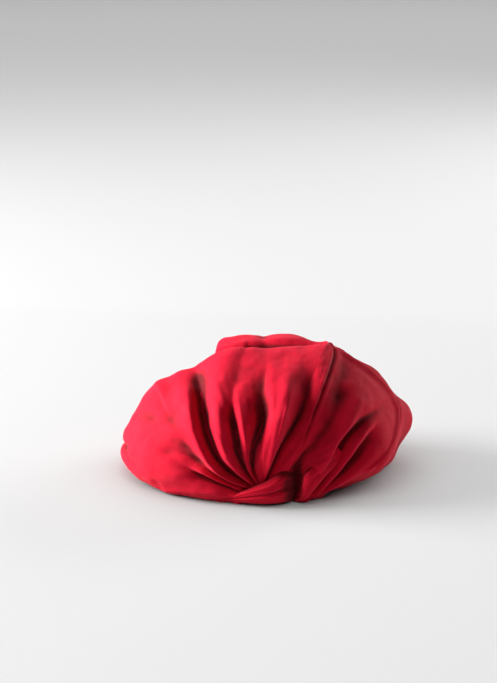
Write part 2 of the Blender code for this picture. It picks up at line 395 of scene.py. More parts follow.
# Small dents and puffs of the front: (right, above, reach right, reach above, height), in seen millimetres
DENTS = [
    (-91, 56, 6, 4, -2.2),
    (-84, 60, 9, 6, 1.5),
    (-80, 27, 10, 6, -1.6),
    (-54, 22, 7, 4, -1.0),
    (-72, 44, 11, 8, 1.6),
    (-118, 33, 10, 4, -4.0),
    (-104, 47, 9, 7, 1.5),
    (-98, 74, 8, 12, 1.6),
    (-76, 82, 5, 12, -1.5),
    (-66, 90, 5, 10, 1.2),
    (-60, 10, 12, 4, 1.6),
    (-48, -6, 16, 3, 1.2),
    (-44, 68, 4, 9, 1.0),
    (-30, 80, 5, 9, -1.2),
    (12, 62, 9, 6, -1.6),
    (-8, 66, 8, 6, -1.2),
    (60, 30, 6, 6, 1.0),
    (70, 74, 8, 7, -1.4),
    (88, 64, 5, 9, 1.2),
    (29.5, 1.5, 4.8, 10.5, -10.0),
    (26, -8, 5, 6, -6.0),
]
FRONT_END = 0.555  # the share of the way to the nape where the front's folds end
NAPE_GATHERS, NAPE_GATHER = 25, 3.0  # how many, and how high in mm
PULL = 0.0008  # height of the fine wrinkles that the twist pulls out
# The small soft wrinkles of washed cotton: height and size, in metres
WRINKLES = [(0.0010, 0.019), (0.00055, 0.0095), (0.00022, 0.0046)]
SEED = 5


def lattice_noise(places, cell, seed):
    """Smooth seeded noise from -1 to 1, on a lattice of that cell size, at places in two or three axes."""
    scaled = places / np.asarray(cell, float)
    corner = np.floor(scaled).astype(np.int64)
    share = smooth(scaled - corner)
    total = np.zeros(places.shape[:-1])
    for offset in np.ndindex(*(2,) * places.shape[-1]):
        key = np.full(total.shape, seed * 7919 + 17, np.int64)
        weight = np.ones(total.shape)
        for axis, step in enumerate(offset):
            key = (key * 31337 + (corner[..., axis] + step) * 73856093) & 0xFFFFFFFF
            key = ((key ^ (key >> 15)) * 2246822519) & 0xFFFFFFFF
            weight = weight * (share[..., axis] if step else 1.0 - share[..., axis])
        total += weight * (((key ^ (key >> 13)) & 0xFFFF) / 32767.5 - 1.0)
    return total


def slouch_relief(across, along):
    """Relief of the crest and the back, in metres, where the twist's fan has faded."""
    total = np.zeros(across.shape)
    for a, s, reach_a, reach_s, height in SWELLS:
        total += 0.001 * height * np.exp(-(((across - a) / reach_a) ** 2) - ((along - s) / reach_s) ** 2)
    line = np.array(RIGHT_RIDGE)
    ridge_at = np.interp(across, line[:, 0], line[:, 1])
    present = smooth((across - 0.63) / 0.05) * smooth((0.880 - across) / 0.04)
    away = along - ridge_at
    ridge = RIDGE * np.exp(-((away / RIDGE_WIDTH) ** 2))
    ridge = ridge - DIP * np.exp(-(((away - DIP_BEHIND) / DIP_WIDTH) ** 2))
    uneven = lattice_noise(np.stack([across, along], -1), (0.07, 0.35), SEED + 6)
    turn = NAPE_GATHERS * across + 0.7 * np.sin(9.0 * across + 4.0 * along) + 0.8 * uneven
    gathers = (1.0 - np.abs(np.sin(math.pi * turn)) ** 0.8) * (1.0 + 0.6 * uneven)
    width = DROP_WIDTH + 0.06 * smooth((along - 0.665) / 0.10)
    drop = smooth((DROP_ACROSS - across) / width) * smooth((along - 0.535) / 0.05)
    drop *= (1.0 - smooth((along - 0.74) / 0.14)) * smooth((across - 0.12) / 0.16)
    total -= DROP * drop
    drawn_in = smooth((along - 0.72) / 0.2) * (1.0 - 0.75 * smooth((along - 0.965) / 0.03))
    return total + 0.001 * (ridge * present + NAPE_GATHER * (gathers - 0.35) * drawn_in)


def front_relief(points, normals, along):
    """The front's relief at every grid point, fading out where the cloth turns away from the front."""
    to_camera = camera_at - points
    to_camera /= np.linalg.norm(to_camera, axis=-1, keepdims=True)
    facing = smooth((np.sum(normals * to_camera, -1) + 0.05) / 0.3)
    places = seen(points)
    height = fan_height(places)
    for right, above, reach_right, reach_above, dent in DENTS:
        away = (places[..., 0] * 1000 - right) / reach_right, (places[..., 1] * 1000 - above) / reach_above
        height += 0.001 * dent * np.exp(-(away[0] ** 2) - away[1] ** 2)
    reach = np.hypot(places[..., 0], places[..., 1] + 0.004)
    polar = np.stack([np.arctan2(places[..., 1] + 0.004, places[..., 0]), reach], -1)
    pulled = lattice_noise(polar, (0.075, 0.045), SEED) + 0.5 * lattice_noise(polar, (0.038, 0.03), SEED + 1)
    height += PULL * pulled * smooth((reach - 0.006) / 0.02) * (1.0 - 0.7 * smooth((reach - 0.06) / 0.05))
    return height * facing * (1.0 - smooth((along - FRONT_END) / 0.04))


def rumpled(points):
    """The small wrinkles' height, in metres."""
    total = 0.0
    for k, (height, size) in enumerate(WRINKLES):
        total = total + height * lattice_noise(points, size, SEED + 2 + k)
    return total


# ------------------------------------------------------------
# Meshes
# ------------------------------------------------------------
def add_object(name, data):
    made = bpy.data.objects.new(name, data)
    bpy.context.scene.collection.objects.link(made)
    return made


def new_object(name, verts, faces):
    mesh = bpy.data.meshes.new(name)
    mesh.from_pydata(np.asarray(verts, float).tolist(), [], [list(map(int, face)) for face in faces])
    mesh.update()
    mesh.shade_smooth()
    return add_object(name, mesh)


def paint(made, flat_places, folds):
    """Gives a mesh its flat cloth places, in metres, and how far each point stands out of its folds, which
    the cloth's material turns into painted shade down in the creases.
    """
    mesh = made.data
    corners = np.zeros(len(mesh.loops), np.int32)
    mesh.loops.foreach_get("vertex_index", corners)
    layer = mesh.uv_layers.new(name="flat")
    layer.data.foreach_set("uv", np.asarray(flat_places, np.float32)[corners].ravel())
    attribute = mesh.attributes.new("fold", "FLOAT", "POINT")
    attribute.data.foreach_set("value", np.asarray(folds, np.float32).ravel())


def face_outward(made):
    """Turns a closed mesh's faces outwards."""
    bm = bmesh.new()
    bm.from_mesh(made.data)
    bmesh.ops.recalc_face_normals(bm, faces=bm.faces[:])
    bm.to_mesh(made.data)
    bm.free()
    made.data.shade_smooth()


def grid_faces(columns, rows, offset=0, flip=False):
    i, j = np.meshgrid(np.arange(columns - 1), np.arange(rows - 1), indexing="ij")
    a = (i * rows + j).ravel() + offset
    quads = np.stack([a, a + rows, a + rows + 1, a + 1], -1)
    return quads[:, ::-1] if flip else quads


def shell_object(name, outer, inner, flat_size, folds=None):
    """A closed sheet between two grids of the same size. flat_size is its width and length lying flat."""
    columns, rows = outer.shape[:2]
    count = columns * rows
    verts = np.concatenate([outer.reshape(-1, 3), inner.reshape(-1, 3)])
    index = np.arange(count).reshape(columns, rows)
    border = np.concatenate([index[:, 0], index[-1, 1:], index[-2::-1, -1], index[0, -2:0:-1]])
    following = np.roll(border, -1)
    rim = np.stack([border, following, following + count, border + count], -1)
    faces = np.concatenate([grid_faces(columns, rows), grid_faces(columns, rows, count, True), rim[:, ::-1]])
    made = new_object(name, verts, faces)
    face_outward(made)
    wide, long = np.meshgrid(
        np.linspace(0.0, flat_size[0], columns), np.linspace(0.0, flat_size[1], rows), indexing="ij"
    )
    flat = np.stack([wide, long], -1).reshape(-1, 2)
    folds = np.zeros(count) if folds is None else folds.ravel()
    paint(made, np.concatenate([flat, flat]), np.concatenate([folds, folds]))
    return made


def spread_out(field, reach):
    """A field averaged over about reach steps each way."""
    for _ in range(3):
        for axis in (0, 1):
            margins = [(reach, reach) if k == axis else (0, 0) for k in range(field.ndim)]
            padded = np.pad(field, margins, mode="edge")
            total = np.cumsum(padded, axis=axis)
            head = np.take(total, np.arange(2 * reach, padded.shape[axis]), axis=axis)
            tail = np.take(total, np.arange(0, padded.shape[axis] - 2 * reach), axis=axis)
            field = (head - tail) / (2 * reach)
    return field


def relax(points, rounds):
    """Evens a grid out a little: every inner point moves towards its neighbours' middle."""
    for _ in range(rounds):
        middle = points.copy()
        around = points[:-2, 1:-1] + points[2:, 1:-1]
        around = around + points[1:-1, :-2] + points[1:-1, 2:]
        middle[1:-1, 1:-1] = 0.25 * around
        points = 0.5 * points + 0.5 * middle
    return points


ACROSS_STEPS, ALONG_STEPS = 420, 260
CLOTH = 0.0008
# Painted shade: a point this far below its surroundings gets the cloth's full crease colour
FOLD_DEPTH = 0.0027  # a point this far below its surroundings lies deep in a fold
FOLD_REACH = 9  # the surroundings, in steps


def sculpted_cloth():
    """The whole outer cloth as one folded grid, and how far each of its points stands out of its folds,
    which sets the painted shade in its creases.
    """
    across, along = np.meshgrid(
        np.linspace(0.0, 1.0, ACROSS_STEPS), np.linspace(0.0, 1.0, ALONG_STEPS), indexing="ij"
    )
    points = loft(across, along)
    normals = grid_normals(points)
    height = front_relief(points, normals, along) + slouch_relief(across, along) + rumpled(points)
    height *= smooth(along / 0.04 + 0.3)
    # Painted shade: the colour is darkened where the cloth lies below its surroundings
    folds = np.clip((height - spread_out(height, FOLD_REACH)) / FOLD_DEPTH, -1.0, 1.0)
    return across, along, points, points + normals * height[..., None], folds


def resampled(field, across, wanted):
    """A field of the whole cloth at other places across it, row by row."""
    return np.stack([np.interp(wanted[:, j], across[:, j], field[:, j]) for j in range(field.shape[1])], 1)


ACROSS_LENGTH = 0.36  # of the cloth over the crest, from edge to edge
SEAM_GAP = 0.0001
# The seam allowance under each panel's edge puffs it up; at the seam itself the panels dip into a groove
LIP, LIP_FROM_SEAM, LIP_WIDTH = 0.0005, 0.0032, 0.0016
GROOVE, GROOVE_WIDTH = 0.0009, 0.0012
# Painted shade along the seam: how much it darkens the colour, and how far it reaches
SEAM_SHADE, SEAM_SHADE_WIDTH = 0.8, 0.0016
HALF_COLUMNS = {"left": 269, "right": 185}  # odd, so that every other column keeps both edges
WEAVE_WIDTH = {"left": 0.360, "right": 0.270}  # what the weave's pattern is laid out over
WEAVE_LENGTH = 0.330


def half(side, across, along, cloth, folds):
    """One half of the cloth, resampled so that its inner edge runs along the seam: its points, its normals,
    which both halves share at the seam, and how far each point stands out of its folds, less painted shade
    at the seam."""
    seam = seam_across(along[0])
    margin = 0.5 * SEAM_GAP / ACROSS_LENGTH
    share = np.linspace(0.0, 1.0, HALF_COLUMNS[side])[:, None]
    if side == "left":
        wanted = share * (seam - margin)
    else:
        wanted = seam + margin + share * (1.0 - seam - margin)
    made = np.stack([resampled(cloth[..., k], across, wanted) for k in range(3)], -1)
    whole = grid_normals(cloth)
    normal = spread_out(np.stack([resampled(whole[..., k], across, wanted) for k in range(3)], -1), 2)
    normal /= np.linalg.norm(normal, axis=-1, keepdims=True)
    from_seam = np.abs(wanted - seam) * ACROSS_LENGTH
    lip = LIP * np.exp(-(((from_seam - LIP_FROM_SEAM) / LIP_WIDTH) ** 2))
    lip -= GROOVE * np.exp(-((from_seam / GROOVE_WIDTH) ** 2))
    made = relax(made, 2) + normal * lip[..., None]
    # The seam's groove is painted darker, as shade
    shade = SEAM_SHADE * np.exp(-((from_seam / SEAM_SHADE_WIDTH) ** 2))
    return made, normal, np.clip(resampled(folds, across, wanted) - shade, -1.0, 1.0)


def on_floor(points, least=0.0):
    """Rests points on the floor, or at least that high over it."""
    points[..., 2] = np.maximum(points[..., 2], least)
    return points


def panel(side, made, normal, folds):
    """One half's outer cloth."""
    inner = made - normal * CLOTH
    size = WEAVE_WIDTH[side], WEAVE_LENGTH
    return shell_object(f"{side}_crown_cloth", on_floor(made.copy()), on_floor(inner, CLOTH), size, folds)


LINING_GAP, LINING = 0.0006, 0.0006  # between cloth and lining, and the lining's thickness


def lining(side, made, normal, folds):
    """The lining lies against the cloth's inside and ends just short of its edges."""
    lying, normal = relax(made[::2, ::2], 3), normal[::2, ::2]
    outer = lying - normal * (CLOTH + LINING_GAP)
    inner = lying - normal * (CLOTH + LINING_GAP + LINING)
    size = WEAVE_WIDTH[side] * 0.97, WEAVE_LENGTH * 0.97
    low = CLOTH + LINING_GAP
    outer, inner = on_floor(outer, low), on_floor(inner, low + LINING)
    # The lining gets half the cloth's painted crease shade
    return shell_object(f"{side}_lining_cloth", outer, inner, size, folds[::2, ::2] * 0.5)


# ------------------------------------------------------------
# The twist's strands
# ------------------------------------------------------------
def depth_finder(points):
    """Looks up the plain wrap's y, in metres, at a seen place, in millimetres."""
    front = points[::3, : ALONG_STEPS // 2 : 2].reshape(-1, 3)
    tree = KDTree(len(front))
    for k, place in enumerate(seen(front) * 1000):
        tree.insert((place[0], place[1], 0.0), k)
    tree.balance()

    def find(place):
        nearest = tree.find_n((place[0], place[1], 0.0), 6)
        weights = [1.0 / (distance + 0.3) for _, _, distance in nearest]
        return sum(w * front[k][1] for w, (_, k, _) in zip(weights, nearest)) / sum(weights)

    return find


def strand(name, edges, rises, rounds, pleats, pleat_height, painted_dark_from, find_depth, flat_size):
    """A gathered strand between two seen edges. Its edges stand rises millimetres before the wrap, and its
    middle stands rounds more. From a given share of its length on, where it dives down into the twist,
    its colour is painted dark as shade."""
    columns, rows = 120, 72
    share = np.linspace(0.0, 1.0, columns)
    low, high = (catmull_rom(edge, share) for edge in edges)
    rise = catmull_rom(np.array(rises, float)[:, None], share)[:, 0] * 0.001
    round_out = catmull_rom(np.array(rounds, float)[:, None], share)[:, 0] * 0.001
    middle_y = np.array([find_depth(place) for place in 0.5 * (low + high)])
    middle_y = spread_out(np.stack([middle_y] * 3, 1), 6)[:, 0]
    front, back = np.zeros((columns, rows, 3)), np.zeros((columns, rows, 3))
    folds = np.zeros((columns, rows))
    fade = smooth(share / 0.15) * smooth((1.0 - share) / 0.10)
    for j in range(rows):
        w = j / (rows - 1)
        dome = math.sqrt(max(1.0 - (2 * w - 1) ** 2, 0.0)) ** 0.8
        wave = sum(h * (1 - abs(math.sin(math.pi * (f * w + p))) ** 0.7) for f, p, h in pleats)
        seen_at = low + (high - low) * w
        depth = middle_y - rise - round_out * dome + pleat_height * wave * dome * fade
        front[:, j] = placed(seen_at[:, 0], seen_at[:, 1], depth)
        back[:, j] = placed(seen_at[:, 0], seen_at[:, 1], middle_y - rise + 0.003 * dome)
        # Painted shade: darker in the pleats' hollows, along the tucked edges, and from the given share on
        # into the twist
        folds[:, j] = (0.35 - 0.8 * wave) * fade - 0.5 * (1 - dome) - 1.3 * smooth((share - painted_dark_from) / 0.28)
    return shell_object(name, on_floor(front), on_floor(back, CLOTH), flat_size, np.clip(folds, -1, 1))


def knot_front(find_depth):
    """The strand over the front of the twist. Each pleat is (how many, where the first is, how deep)."""
    low = [(-37, -12.6), (-23, -13.6), (-9, -15.5), (5, -15.9), (17, -14.8), (25, -12.5), (30.5, -6)]
    high = [(-37, -11.8), (-23, -7.8), (-9, -1.9), (4, 3.6), (14.5, 10.4), (22, 14.6), (29, 11)]
    rises = [-0.2, 1.4, 2.0, 2.0, 0.0, -6.0, -15.0]
    rounds = [0.8, 4.5, 7.5, 9.0, 9.0, 7.5, 4.0]
    pleats = [(1.9, 0.18, 1.0), (4.3, 0.35, 0.45), (9.0, 0.1, 0.2)]
    shape = (low, high), rises, rounds, pleats, 0.0016, 0.58
    return strand("knot_front_strand_cloth", *shape, find_depth, (0.075, 0.070))


def knot_rear(find_depth):
    """The strand that comes out under it on the right."""
    low = [(26, -13.0), (32, -13.7), (37.5, -11), (42, -5.5), (47.5, 1), (53, 7.5), (60, 15), (68, 25)]
    high = [(26, -12.2), (30.2, -10.8), (32.2, -5), (33.2, 3), (35.5, 10.5), (43, 17), (53, 24), (62, 32)]
    rises = [-2.0, 1.5, 4.5, 5.5, 5.0, 2.0, -1.0, -5.0]
    rounds = [0.5, 2.0, 3.5, 4.5, 4.5, 4.5, 3.5, 1.5]
    pleats = [(1.6, 0.45, 1.0), (4.0, 0.2, 0.3)]
    shape = (low, high), rises, rounds, pleats, 0.0010, 1.0
    return strand("knot_rear_strand_cloth", *shape, find_depth, (0.060, 0.045))


# ------------------------------------------------------------
# The nape: gathered casing, elastic and label
# ------------------------------------------------------------
NAPE_LENGTH = 0.235  # of the casing's cloth before the elastic draws it up
GATHER = 0.0013  # how far its pleats stand out
CHANNEL_PLEATS = 31
CHANNEL_DEPTH = 2 * CASING_WALL + CASING_HOLLOW
STITCH_HEIGHT = CASING_HEIGHT - 0.0022


def nape_at(share, depth, height):
    """Points of the nape channel: share runs from its left end (0) round the back to its right end (1)."""
    share, depth, height = np.broadcast_arrays(share, depth, height)

    def middle(u):
        x = -CASING_HALF_WIDTH * np.cos(math.pi * u)
        y = CASING_END_Y + (CASING_BACK_Y - CASING_END_Y) * np.sin(math.pi * u)
        return np.stack([x, y, np.zeros_like(x)], -1)

    ahead = middle(share + 0.004) - middle(share - 0.004)
    outward = np.stack([-ahead[..., 1], ahead[..., 0], np.zeros_like(share)], -1)
    outward /= np.linalg.norm(outward, axis=-1, keepdims=True)
    up = np.zeros(share.shape + (3,))
    up[..., 2] = height
    return middle(share) - CENTRE - outward * depth[..., None] + up


def gathers(share, height):
    """How far the casing's pleats stand out, from 0 to 1, pinched along the stitching."""
    turn = CHANNEL_PLEATS * share + 0.35 * np.sin(23.0 * share)
    turn = turn + 0.04 * np.sin(height * 600.0 + 40.0 * share)
    pleat = 1.0 - np.abs(np.sin(math.pi * turn)) ** 0.75
    pinched = np.exp(-(((height - STITCH_HEIGHT) / 0.0012) ** 2))
    ends = smooth(share / 0.03) * smooth((1.0 - share) / 0.03)
    full_height = 0.35 + 0.65 * np.sin(math.pi * np.clip(height / 0.021, 0, 1))
    return pleat * (1.0 - 0.75 * pinched) * full_height * ends


def casing_cloth():
    """Cloth folded up into a channel: down the outside, round the bottom and up the inside."""
    columns, wall, fold = 560, 16, 7
    turn = np.linspace(0.0, math.pi, fold)[1:-1]
    lowest = 0.0016
    profile = [(0.0, z) for z in np.linspace(CASING_HEIGHT, lowest, wall)]
    profile += [(0.5 * CHANNEL_DEPTH * (1 - math.cos(t)), lowest * (1 - 0.92 * math.sin(t))) for t in turn]
    profile += [(CHANNEL_DEPTH, z) for z in np.linspace(lowest, CASING_HEIGHT, wall)]
    depth, height = np.array(profile).T
    share = np.linspace(0.0, 1.0, columns)[:, None]
    side = np.clip(2 * depth / CHANNEL_DEPTH - 1, -1, 1)
    pleat = gathers(share, height)
    out = depth - 0.0002 + side * (GATHER * (pleat - 0.25))
    tuck = 0.0009 * smooth((height - 0.0205) / 0.0015)
    out = out - side * tuck
    outer = nape_at(share, out, height)
    inner = nape_at(share, out - side * 0.0007, np.maximum(height + 0.0006 * (1 - np.abs(side)), 0.0002))
    size = (NAPE_LENGTH, 0.050)
    # Painted shade: the casing is darker between its gathers
    folds = np.clip(2.4 * pleat - 1.1, -1, 1)
    return shell_object("nape_casing_cloth", on_floor(outer), on_floor(inner), size, folds)


def elastic_band():
    """Ribbed elastic inside the channel, clear of its walls."""
    columns, rows = 420, 18
    thick, low, high = 0.0009, 0.0030, 0.0188
    share = np.linspace(0.012, 0.988, columns)[:, None]
    height = np.linspace(low, high, rows)[None, :]
    rib = 0.00012 * np.abs(np.sin(math.pi * 5.0 * (height - low) / (high - low)))
    rib = rib + 0.00006 * np.sin(420.0 * share)
    depth = 0.5 * CHANNEL_DEPTH
    outer = nape_at(share, depth - 0.5 * thick - rib, height)
    inner = nape_at(share, depth + 0.5 * thick + rib, height)
    return shell_object("elastic_band", outer, inner, (0.150, high - low))


def care_label():
    """A blank satin ribbon folded in half, held by its fold under the channel's top, its ends hanging."""
    columns, rows = 28, 40
    top, length, gap, thick = 0.0198, 0.0165, 0.0007, 0.00018
    inside = CHANNEL_DEPTH + GATHER + 0.0006
    share = np.linspace(0.535, 0.645, columns)[:, None]
    walk = np.linspace(-1.0, 1.0, rows)[None, :]
    below = np.abs(walk)
    height = top - length * np.minimum(1.0, 0.02 + below)
    curl = 0.0022 * below**2 * (1.0 + 0.3 * np.sin(30.0 * share))
    depth = inside + gap * (1.0 + walk) * 0.5 + curl
    outer = nape_at(share, depth, height)
    inner = nape_at(share, depth + thick, height)
    return shell_object("care_label_ribbon", on_floor(outer), on_floor(inner), (0.022, 0.034))


def stitches(name, points, normals, length, gap, radius):
    """A row of sewn stitches along a path: each a short bowed thread whose ends dip into the cloth."""
    steps = np.linalg.norm(np.diff(points, axis=0), axis=1)
    walked = np.concatenate([[0.0], np.cumsum(steps)])
    count = int(walked[-1] / (length + gap))
    verts, faces, flat = [], [], []
    rings, sides = 6, 6
    for n in range(count):
        start = n * (length + gap)
        base = len(verts)
        at = start + length * np.linspace(0.0, 1.0, rings)
        centre = np.stack([np.interp(at, walked, points[:, k]) for k in range(3)], -1)
        normal = np.stack([np.interp(at, walked, normals[:, k]) for k in range(3)], -1)
        normal /= np.linalg.norm(normal, axis=-1, keepdims=True)
        ahead = np.gradient(centre, axis=0)
        ahead /= np.linalg.norm(ahead, axis=-1, keepdims=True)
        aside = np.cross(ahead, normal)
        bow = np.sin(math.pi * np.linspace(0.0, 1.0, rings))
        centre = centre + normal * (radius * (1.6 * bow - 0.6))[:, None]
        for k in range(rings):
            thin = radius * (0.55 + 0.45 * bow[k])
            for m in range(sides):
                turn = 2 * math.pi * m / sides
                verts.append(centre[k] + thin * (math.cos(turn) * normal[k] + math.sin(turn) * aside[k]))
                flat.append((m / sides * 2 * math.pi * radius, at[k]))
        for k in range(rings - 1):
            for m in range(sides):
                a, b = base + k * sides + m, base + k * sides + (m + 1) % sides
                faces.append((a, b, b + sides, a + sides))
        faces.append([base + m for m in range(sides)][::-1])
        faces.append([base + (rings - 1) * sides + m for m in range(sides)])
    made = new_object(name, verts, faces)
    face_outward(made)
    paint(made, flat, np.zeros(len(verts)))
    return made


THREAD_RADIUS = 0.00022
SEAM_STITCH, SEAM_SKIP = 0.0024, 0.0008  # a stitch's length, and the gap to the next


def crown_stitches(left, right, normal):
    """The crown seam's stitches, down in its groove."""
    groove = 0.5 * (left[-1] + right[0])
    path = (groove - normal * 0.0007)[3:-3]
    return stitches("crown_seam_stitches", path, normal[3:-3], SEAM_STITCH, SEAM_SKIP, THREAD_RADIUS)


def lining_stitches(left, right, normal):
    """The lining seam's stitches, on its inner face."""
    groove = 0.5 * (left[-1] + right[0])
    path = (groove - normal * (CLOTH + LINING_GAP + LINING))[3:-3]
    return stitches("lining_seam_stitches", path, -normal[3:-3], SEAM_STITCH, SEAM_SKIP, THREAD_RADIUS)


def casing_stitches():
    """The row that closes the channel, along the pleats' pinched line."""
    share = np.linspace(0.015, 0.985, 500)
    depth = GATHER * (gathers(share, STITCH_HEIGHT) - 0.25) - 0.0002
    points = nape_at(share, depth, STITCH_HEIGHT)
    outward = nape_at(share, -1.0, STITCH_HEIGHT) - nape_at(share, 0.0, STITCH_HEIGHT)
    return stitches("casing_stitches", points, outward, 0.0026, 0.0011, THREAD_RADIUS)


def bar_tack(side, share):
    """A dense zigzag across the channel that holds the elastic's end."""
    count = 90
    step = np.linspace(0.0, 1.0, count)
    place = share + np.where(np.arange(count) % 2 == 0, -1.0, 1.0) * 0.0011 / (math.pi * CASING_HALF_WIDTH)
    height = 0.0045 + 0.012 * step
    points = nape_at(place, -0.0006 - GATHER * 0.6, height)
    outward = nape_at(place, -1.0, height) - nape_at(place, 0.0, height)
    return stitches(f"elastic_tack_{side}_stitches", points, outward, 0.0021, 0.00005, THREAD_RADIUS)


# ------------------------------------------------------------
# Materials
# ------------------------------------------------------------
def new_material(name):
    mat = bpy.data.materials.new(name)
    mat.use_nodes = True
    tree = mat.node_tree
    return mat, tree, tree.nodes["Principled BSDF"]


def tune(node, **values):
    """Sets a node's inputs; a name has _ for a space."""
    for key, value in values.items():
        node.inputs[key.replace("_", " ")].default_value = value


def put(tree, kind, settings=None, **inputs):
    """A node with its settings and inputs. An input's name has _ for a space, or _ and its number; its value
    may be another node's output."""
    made = tree.nodes.new(kind)
    for key, value in (settings or {}).items():
        setattr(made, key, value)
    for key, value in inputs.items():
        socket = made.inputs[int(key[1:])] if key[1:].isdigit() else made.inputs[key.replace("_", " ")]
        if isinstance(value, bpy.types.NodeSocket):
            tree.links.new(value, socket)
        else:
            socket.default_value = value
    return made


def maths(tree, operation, *values):
    """The output of a maths node."""
    inputs = {f"_{k}": value for k, value in enumerate(values)}
    return put(tree, "ShaderNodeMath", {"operation": operation}, **inputs).outputs[0]


def weave_height(tree, pitch, slub):
    """Plain weave over the flat cloth, with a thicker thread here and there; pitch is thread to thread."""
    flat = put(tree, "ShaderNodeUVMap", {"uv_map": "flat"}).outputs["UV"]
    scale = math.pi / 10 / pitch
    wave = {"Vector": flat, "Scale": scale, "Distortion": 1.4, "Detail": 1.0, "Detail_Scale": 0.6}
    ways = [{"bands_direction": way} for way in "XY"]
    threads = [put(tree, "ShaderNodeTexWave", way, **wave).outputs["Fac"] for way in ways]
    crossed = maths(tree, "MULTIPLY", *threads)
    slubs = []
    for stretch in ((40.0, 1500.0, 1.0), (1500.0, 40.0, 1.0)):
        placed_at = put(tree, "ShaderNodeMapping", Vector=flat, Scale=stretch).outputs["Vector"]
        slubs.append(put(tree, "ShaderNodeTexNoise", Vector=placed_at, Scale=1.0, Detail=2.0).outputs["Fac"])
    thick = maths(tree, "MAXIMUM", *slubs)
    height = maths(tree, "MULTIPLY_ADD", thick, slub, crossed)
    return flat, height, thick


def cotton(name, deep, body, faded, pitch, roughness, sheen):
    """Washed plain-woven cotton: painted shade darkens it down in its folds (the colour deep), and it is a
    little faded along their backs.
    """
    mat, tree, shader = new_material(name)
    flat, height, thick = weave_height(tree, pitch, 0.8)
    fold = put(tree, "ShaderNodeAttribute", {"attribute_name": "fold"}).outputs["Fac"]
    patches = put(tree, "ShaderNodeTexNoise", Vector=flat, Scale=34.0, Detail=3.0).outputs["Fac"]
    streaks = maths(tree, "MULTIPLY_ADD", thick, 0.35, patches)
    varied = maths(tree, "MULTIPLY_ADD", streaks, 0.5, fold)
    stops = put(tree, "ShaderNodeMapRange", Value=varied, From_Min=-0.75, From_Max=1.25).outputs["Result"]
    ramp = put(tree, "ShaderNodeValToRGB", Fac=stops)
    steps = ramp.color_ramp.elements
    # The ramp's darkest colour is painted shade: creases darken the base colour
    steps[0].position, steps[0].color = 0.0, (*deep, 1.0)
    steps[1].position, steps[1].color = 1.0, (*faded, 1.0)
    for place, colour in ((0.45, body), (0.66, body)):
        step = steps.new(place)
        step.color = (*colour, 1.0)
    tree.links.new(ramp.outputs["Color"], shader.inputs["Base Color"])
    rough = put(tree, "ShaderNodeMapRange", Value=patches, To_Min=roughness - 0.07, To_Max=roughness + 0.07)
    tree.links.new(rough.outputs["Result"], shader.inputs["Roughness"])
    crumple = put(tree, "ShaderNodeTexNoise", Vector=flat, Scale=210.0, Detail=3.0).outputs["Fac"]
    rumple = put(tree, "ShaderNodeBump", Strength=0.5, Distance=0.0006, Height=crumple).outputs["Normal"]
    woven = put(tree, "ShaderNodeBump", Strength=0.7, Distance=0.00012, Height=height, Normal=rumple)
    tree.links.new(woven.outputs["Normal"], shader.inputs["Normal"])
    sheen_tint = (1.0, 0.42, 0.50, 1.0)
    tune(shader, Sheen_Weight=sheen, Sheen_Roughness=0.45, Sheen_Tint=sheen_tint, Specular_IOR_Level=0.13)
    return mat


def ribbed(name, dark, light, ribs_per_metre, way, depth, roughness, detail=0.0, unwrapped=True):
    """Thread, elastic or ribbon: fine ribs in one direction over a slightly uneven colour."""
    mat, tree, shader = new_material(name)
    if unwrapped:
        flat = put(tree, "ShaderNodeUVMap", {"uv_map": "flat"}).outputs["UV"]
    else:
        flat = put(tree, "ShaderNodeTexCoord").outputs["Object"]
    wave = {"Vector": flat, "Scale": ribs_per_metre * math.pi / 10, "Distortion": detail}
    ribs = put(tree, "ShaderNodeTexWave", {"bands_direction": way}, **wave).outputs["Fac"]
    uneven = put(tree, "ShaderNodeTexNoise", Vector=flat, Scale=400.0, Detail=2.0).outputs["Fac"]
    mixed = maths(tree, "MULTIPLY_ADD", ribs, 0.5, uneven)
    ramp = put(tree, "ShaderNodeValToRGB", Fac=mixed)
    ramp.color_ramp.elements[0].position, ramp.color_ramp.elements[0].color = 0.3, (*dark, 1.0)
    ramp.color_ramp.elements[1].position, ramp.color_ramp.elements[1].color = 0.9, (*light, 1.0)
    tree.links.new(ramp.outputs["Color"], shader.inputs["Base Color"])
    rough = put(tree, "ShaderNodeMapRange", Value=uneven, To_Min=roughness - 0.06, To_Max=roughness + 0.06)
    tree.links.new(rough.outputs["Result"], shader.inputs["Roughness"])
    bump = put(tree, "ShaderNodeBump", Strength=0.8, Distance=depth, Height=ribs).outputs["Normal"]
    tree.links.new(bump, shader.inputs["Normal"])
    tune(shader, Sheen_Weight=0.03, Specular_IOR_Level=0.20)
    return mat


# ------------------------------------------------------------
# Build
# ------------------------------------------------------------
# Cloth: its colours deep in the folds (painted shade), between them and on their backs; thread pitch,
# roughness, sheen
OUTER = cotton(
    "red_cotton_woven", (0.12, 0.0, 0.003), (0.62, 0.0, 0.021), (0.66, 0.001, 0.026), 0.00042, 0.78, 0.10
)
INNER = cotton(
    "red_cotton_lawn", (0.30, 0.0, 0.008), (0.62, 0.001, 0.024), (0.66, 0.006, 0.04), 0.00030, 0.80, 0.10
)
